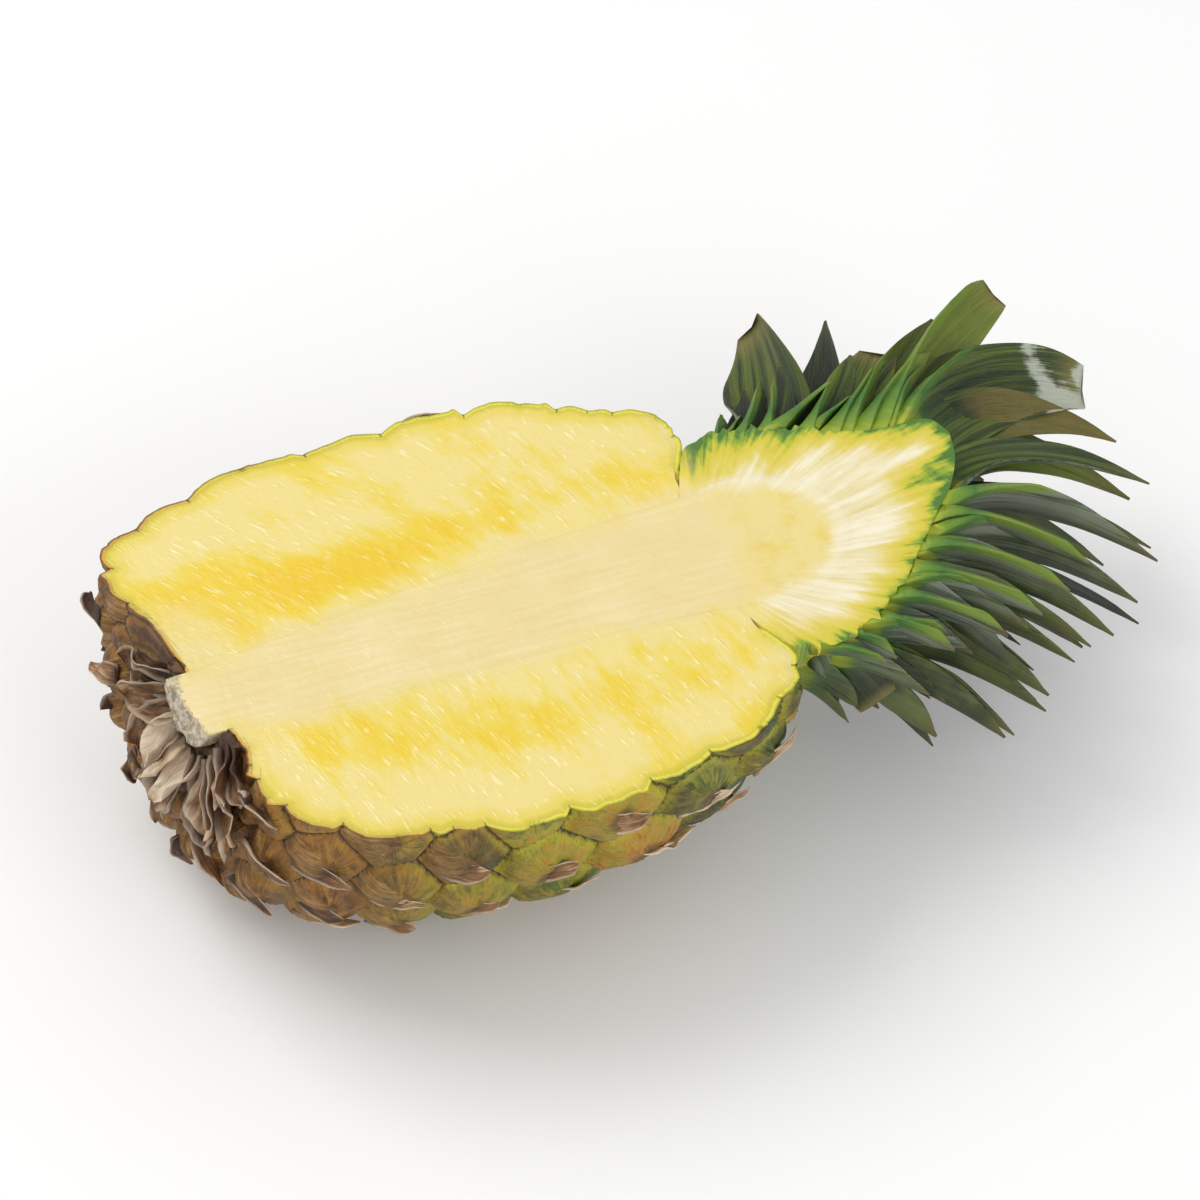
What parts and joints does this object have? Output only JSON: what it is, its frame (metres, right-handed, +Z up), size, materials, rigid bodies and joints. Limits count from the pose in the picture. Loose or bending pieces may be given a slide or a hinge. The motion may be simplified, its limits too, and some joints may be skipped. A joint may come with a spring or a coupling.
{
  "type": "half pineapple",
  "caption": "Half of a fresh pineapple, cut lengthwise through fruit and leafy crown, lying on its rind with the cut face up.",
  "frame": {"origin": "middle of the small flat spot on the lowest eye, which the half rests on", "axes": "+Z up, square to the cut face; +X along the fruit from the stalk scar to the crown"},
  "size_m": [0.2282, 0.1324, 0.0586],
  "materials": {
    "rind": "brown and olive skin of low hexagonal eyes, each with a dry papery bract tip",
    "flesh": "wet, juicy yellow flesh with fine pale fibres",
    "core": "moist, pale cream, fibrous core with a soft edge",
    "crown_heart": "moist, cream leaf bases that turn yellow-green outwards",
    "crown_leaves": "satin dark green leaves with grey waxy undersides and lime cut edges",
    "stalk_husk": "dry, curled, papery bracts"
  },
  "bodies": {
    "root": {"rind": "rind", "flesh": "flesh", "core": "core", "crown_heart": "crown_heart", "crown_leaves": "crown_leaves", "stalk_husk": "stalk_husk"}
  },
  "joints": []
}
